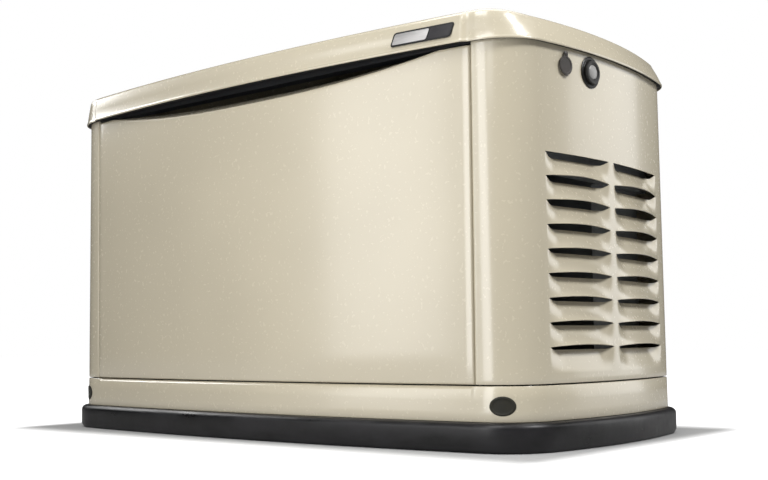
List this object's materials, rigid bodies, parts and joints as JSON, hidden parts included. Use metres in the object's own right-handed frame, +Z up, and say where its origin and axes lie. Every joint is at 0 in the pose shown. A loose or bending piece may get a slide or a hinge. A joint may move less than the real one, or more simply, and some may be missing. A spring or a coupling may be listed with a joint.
{
  "type": "home standby generator",
  "caption": "Weatherproof bowed enclosure with louvred ends and a hinged lid, on a mounting pad, holding a V-twin engine, alternator, battery and controls.",
  "frame": {"origin": "under the middle of the mounting pad, on the surface it stands on", "axes": "+X along the front towards the right-hand end with the lock and status light, +Y from front to back, +Z up"},
  "size_m": [1.218, 0.636, 0.732],
  "materials": {
    "enclosure_paint": "textured powder coat",
    "pad_plastic": "moulded composite",
    "black_plastic": "moulded",
    "plug_rubber": "moulded",
    "cast_aluminium": "as cast",
    "grey_steel": "zinc plated",
    "dark_metal": "satin",
    "engine_paint": "satin",
    "hot_steel": "heat tinted",
    "isolator_rubber": "moulded",
    "lens": "clear over grey",
    "plate_silver": "brushed",
    "filter_enamel": "gloss",
    "yellow_plastic": "moulded",
    "console_grey": "satin",
    "button_rubber": "moulded",
    "copper_winding": "varnished winding"
  },
  "bodies": {
    "enclosure": {"air_cleaner_box": "black_plastic", "alternator_end_bell": "cast_aluminium", "base_pan": "enclosure_paint", "battery": "black_plastic", "blower_housing": "engine_paint", "breaker": "black_plastic", "control_console": "console_grey", "controller_faceplate": "black_plastic", "crankcase": "cast_aluminium", "cylinder_front": "cast_aluminium", "cylinder_rear": "cast_aluminium", "engine_cradle": "engine_paint", "exhaust_bulkhead": "grey_steel", "exhaust_manifold": "hot_steel", "frame_hinge_left": "grey_steel", "frame_hinge_right": "grey_steel", "front_header": "dark_metal", "fuel_hose": "isolator_rubber", "fuel_mixer": "cast_aluminium", "fuel_regulator": "cast_aluminium", "isolator_front_left": "isolator_rubber", "isolator_front_right": "isolator_rubber", "isolator_rear_left": "isolator_rubber", "isolator_rear_right": "isolator_rubber", "left_end_panel": "enclosure_paint", "lift_plug_front_left": "plug_rubber", "lift_plug_front_right": "plug_rubber", "lift_plug_rear_left": "plug_rubber", "lift_plug_rear_right": "plug_rubber", "mounting_pad": "pad_plastic", "muffler": "hot_steel", "oil_filter": "filter_enamel", "rear_panel": "enclosure_paint", "right_end_panel": "enclosure_paint", "rocker_cover_front": "engine_paint", "rocker_cover_rear": "engine_paint", "starter_motor": "engine_paint", "stator_can": "grey_steel", "status_light_bezel": "black_plastic", "status_light_lens": "lens"},
    "lid": {"roof_lid": "enclosure_paint", "nameplate": "plate_silver", "lid_hinge_right": "grey_steel", "lid_hinge_left": "grey_steel"},
    "front_panel": {"front_panel": "enclosure_paint"},
    "lock_right": {"lock_right": "grey_steel"},
    "lock_left": {"lock_left": "grey_steel"},
    "lock_cover_right": {"lock_cover_right": "dark_metal"},
    "lock_cover_left": {"lock_cover_left": "dark_metal"},
    "crank": {"crankshaft": "grey_steel", "flywheel_fan": "cast_aluminium", "alternator_rotor": "copper_winding"},
    "oil_fill_cap": {"oil_fill_cap": "yellow_plastic"},
    "dipstick": {"dipstick": "yellow_plastic"},
    "air_cleaner_cover": {"air_cleaner_cover": "black_plastic"},
    "controller_cover": {"controller_cover": "console_grey"},
    "button_off": {"button_off": "button_rubber"},
    "button_manual": {"button_manual": "button_rubber"},
    "button_auto": {"button_auto": "button_rubber"},
    "breaker_toggle": {"breaker_toggle": "black_plastic"}
  },
  "joints": [
    {"name": "lid_hinge", "type": "hinge", "parent": "enclosure", "child": "lid", "pos_m": [0, 0.30855, 0.64], "axis": [-1, 0, 0], "range_deg": [0, 95]},
    {"name": "front_panel_draw", "type": "slide", "parent": "enclosure", "child": "front_panel", "axis": [0, -1, 0], "range_m": [0, 0.25]},
    {"name": "lock_right_turn", "type": "hinge", "parent": "enclosure", "child": "lock_right", "pos_m": [0.57723, -0.146, 0.6165], "axis": [0.99, -0.1408, 0], "range_deg": [0, 90]},
    {"name": "lock_left_turn", "type": "hinge", "parent": "enclosure", "child": "lock_left", "pos_m": [-0.57723, -0.146, 0.6165], "axis": [0.99, 0.1408, 0], "range_deg": [0, 90]},
    {"name": "lock_cover_right_swing", "type": "hinge", "parent": "enclosure", "child": "lock_cover_right", "pos_m": [0.57699, -0.146, 0.6375], "axis": [0.99, -0.1408, 0], "range_deg": [-90, 90]},
    {"name": "lock_cover_left_swing", "type": "hinge", "parent": "enclosure", "child": "lock_cover_left", "pos_m": [-0.57699, -0.146, 0.6375], "axis": [-0.99, -0.1408, 0], "range_deg": [-90, 90]},
    {"name": "crank_spin", "type": "hinge", "parent": "enclosure", "child": "crank", "pos_m": [-0.2, 0, 0.2337], "axis": [1, 0, 0], "continuous": true},
    {"name": "oil_fill_cap_turn", "type": "hinge", "parent": "enclosure", "child": "oil_fill_cap", "pos_m": [-0.24, -0.19799, 0.43169], "axis": [0, -0.7071, 0.7071], "range_deg": [0, 90]},
    {"name": "dipstick_draw", "type": "slide", "parent": "enclosure", "child": "dipstick", "axis": [0, 0, 1], "range_m": [0, 0.06]},
    {"name": "air_cleaner_cover_lift", "type": "slide", "parent": "enclosure", "child": "air_cleaner_cover", "axis": [0, 0, 1], "range_m": [0, 0.04]},
    {"name": "controller_cover_hinge", "type": "hinge", "parent": "enclosure", "child": "controller_cover", "pos_m": [0.405, -0.051, 0.5703], "axis": [-1, 0, 0], "range_deg": [0, 95]},
    {"name": "button_off_press", "type": "slide", "parent": "enclosure", "child": "button_off", "axis": [0, 0, -1], "range_m": [0, 0.0015], "stiffness_N_per_m": 300},
    {"name": "button_manual_press", "type": "slide", "parent": "enclosure", "child": "button_manual", "axis": [0, 0, -1], "range_m": [0, 0.0015], "stiffness_N_per_m": 300},
    {"name": "button_auto_press", "type": "slide", "parent": "enclosure", "child": "button_auto", "axis": [0, 0, -1], "range_m": [0, 0.0015], "stiffness_N_per_m": 300},
    {"name": "breaker_toggle_throw", "type": "hinge", "parent": "enclosure", "child": "breaker_toggle", "pos_m": [0.515, -0.115, 0.5711], "axis": [-1, 0, 0], "range_deg": [0, 40]}
  ]
}
